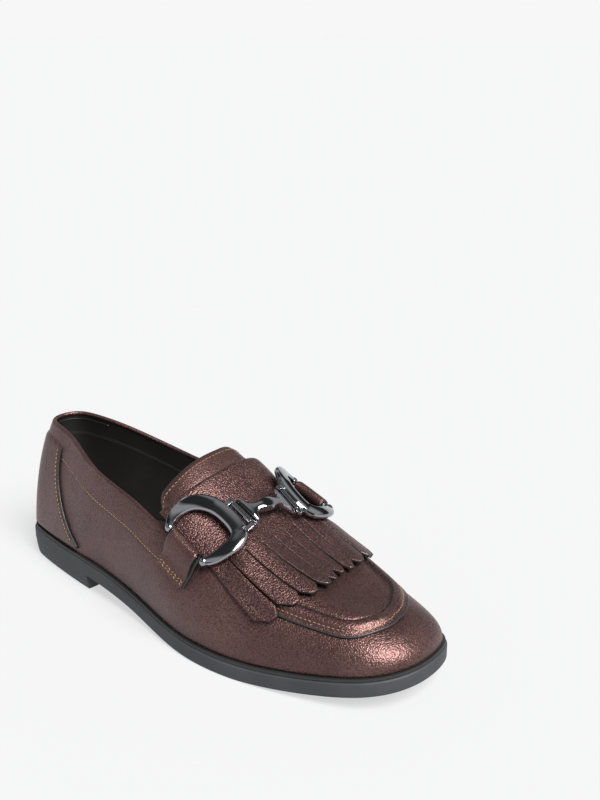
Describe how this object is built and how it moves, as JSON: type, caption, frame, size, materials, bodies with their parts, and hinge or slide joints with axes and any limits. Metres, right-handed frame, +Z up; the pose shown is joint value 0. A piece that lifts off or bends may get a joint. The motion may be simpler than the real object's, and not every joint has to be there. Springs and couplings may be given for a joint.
{
  "type": "fringed leather loafer",
  "caption": "Low-heeled slip-on leather loafer for the right foot, with a fringed flap and a metal snaffle bit over the instep.",
  "frame": {"origin": "on the floor, under the middle of the shoe's box", "axes": "+Z up, the toe points along -Y, the outer side of the foot lies along -X"},
  "size_m": [0.0884, 0.256, 0.0813],
  "materials": {
    "bronze_leather": "metallic bronze, fine pebble grain, satin",
    "sole_rubber": "dark slate grey, matte",
    "edging": "black, matte",
    "lining": "black lining leather, matte",
    "gunmetal": "dark gunmetal plating, polished"
  },
  "bodies": {
    "root": {"outsole": "sole_rubber", "heel": "sole_rubber", "midsole": "edging", "insole": "lining", "upper": "bronze_leather", "counter": "bronze_leather", "apron": "bronze_leather", "tongue": "bronze_leather", "kiltie": "bronze_leather", "tab_outer": "bronze_leather", "tab_inner": "bronze_leather", "ring_outer": "gunmetal", "ring_inner": "gunmetal", "tab_pin_outer": "gunmetal", "tab_pin_inner": "gunmetal", "hinge_pin_outer": "gunmetal", "hinge_pin_inner": "gunmetal", "bit_bar": "gunmetal"}
  },
  "joints": []
}
